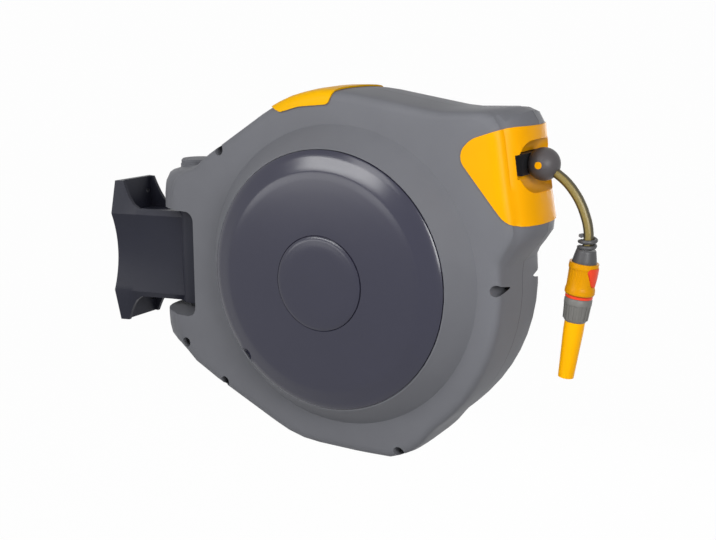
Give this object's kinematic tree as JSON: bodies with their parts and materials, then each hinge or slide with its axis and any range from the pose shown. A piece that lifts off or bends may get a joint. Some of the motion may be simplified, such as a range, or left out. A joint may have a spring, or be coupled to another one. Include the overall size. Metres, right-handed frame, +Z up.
{
  "type": "wall mounted hose reel",
  "caption": "Auto-rewind garden hose reel in a round swivelling casing on a wall bracket, with roller guided outlet, hose stop, quick connector and nozzle.",
  "frame": {"origin": "middle of the four wall screw holes, on the wall plane", "axes": "+X straight out from the wall, +Z up, -Y the side with the round front cover"},
  "size_m": [0.7145, 0.2221, 0.4752],
  "materials": {
    "bracket_plastic": "satin moulded",
    "casing_plastic": "satin moulded with fine grain",
    "cover_plastic": "gloss",
    "yellow_plastic": "semi-gloss",
    "dark_plastic": "satin",
    "red_plastic": "gloss",
    "black_plastic": "matt",
    "steel": "bright",
    "brass": "turned",
    "rubber": "matt",
    "hose": "soft satin"
  },
  "bodies": {
    "wall": {"wall_bracket": "bracket_plastic", "pivot_pin": "steel"},
    "casing": {"pivot_bushes": "black_plastic", "pivot_cap": "casing_plastic", "front_casing": "casing_plastic", "rear_casing": "casing_plastic", "casing_screws": "steel", "front_cover": "cover_plastic", "cover_disc": "cover_plastic", "handle_grip": "yellow_plastic", "outlet_panel": "yellow_plastic", "guide_frame": "black_plastic", "roller_pins": "steel", "drum_axle": "steel", "inlet_spigot": "black_plastic", "spring_arbor": "steel", "pawl_pin": "steel", "pawl_spring": "steel", "hose_lead": "hose", "hose_stop_front": "dark_plastic", "hose_stop_rear": "dark_plastic", "hose_stop_screw": "yellow_plastic", "free_hose": "hose", "hose_nut": "dark_plastic", "connector_core": "red_plastic", "nozzle_base": "dark_plastic"},
    "drum": {"drum_front": "black_plastic", "drum_rear": "black_plastic", "drum_bushes": "brass", "ratchet_ring": "steel", "ratchet_screws": "steel", "spring_lid": "black_plastic", "power_spring": "steel", "water_swivel": "brass", "swivel_seals": "rubber", "hose_inner_layers": "hose", "hose_winding": "hose"},
    "pawl": {"pawl": "steel"},
    "front_roller": {"roller_front": "black_plastic"},
    "rear_roller": {"roller_rear": "black_plastic"},
    "top_roller": {"roller_top": "black_plastic"},
    "bottom_roller": {"roller_bottom": "black_plastic"},
    "collar": {"release_collar": "yellow_plastic", "lock_patch": "red_plastic"},
    "nozzle": {"nozzle_tube": "yellow_plastic"}
  },
  "joints": [
    {"name": "casing_swivel", "type": "hinge", "parent": "wall", "child": "casing", "pos_m": [0.127, 0, 0], "axis": [0, 0, 1], "range_deg": [-90, 90]},
    {"name": "drum_spin", "type": "hinge", "parent": "casing", "child": "drum", "pos_m": [0.395, 0, 0.009], "axis": [0, 1, 0], "continuous": true},
    {"name": "pawl_rock", "type": "hinge", "parent": "casing", "child": "pawl", "pos_m": [0.441, -0.066, 0.08867], "axis": [0, -1, 0], "range_deg": [0, 18], "stiffness_Nm_per_rad": 0.02, "springref_deg": -22.92},
    {"name": "front_roller_spin", "type": "hinge", "parent": "casing", "child": "front_roller", "pos_m": [0.598, -0.0132, 0.161], "axis": [0, 0, 1], "continuous": true},
    {"name": "rear_roller_spin", "type": "hinge", "parent": "casing", "child": "rear_roller", "pos_m": [0.598, 0.0132, 0.161], "axis": [0, 0, 1], "continuous": true},
    {"name": "top_roller_spin", "type": "hinge", "parent": "casing", "child": "top_roller", "pos_m": [0.576, 0, 0.1742], "axis": [0, 1, 0], "continuous": true},
    {"name": "bottom_roller_spin", "type": "hinge", "parent": "casing", "child": "bottom_roller", "pos_m": [0.576, 0, 0.1478], "axis": [0, 1, 0], "continuous": true},
    {"name": "collar_slide", "type": "slide", "parent": "casing", "child": "collar", "axis": [0.1184, 0, 0.993], "range_m": [0, 0.004], "stiffness_N_per_m": 900, "springref_m": -0.002},
    {"name": "nozzle_twist", "type": "hinge", "parent": "casing", "child": "nozzle", "pos_m": [0.7005, 0, 0.079], "axis": [0.1184, 0, 0.993], "range_deg": [0, 180]}
  ]
}
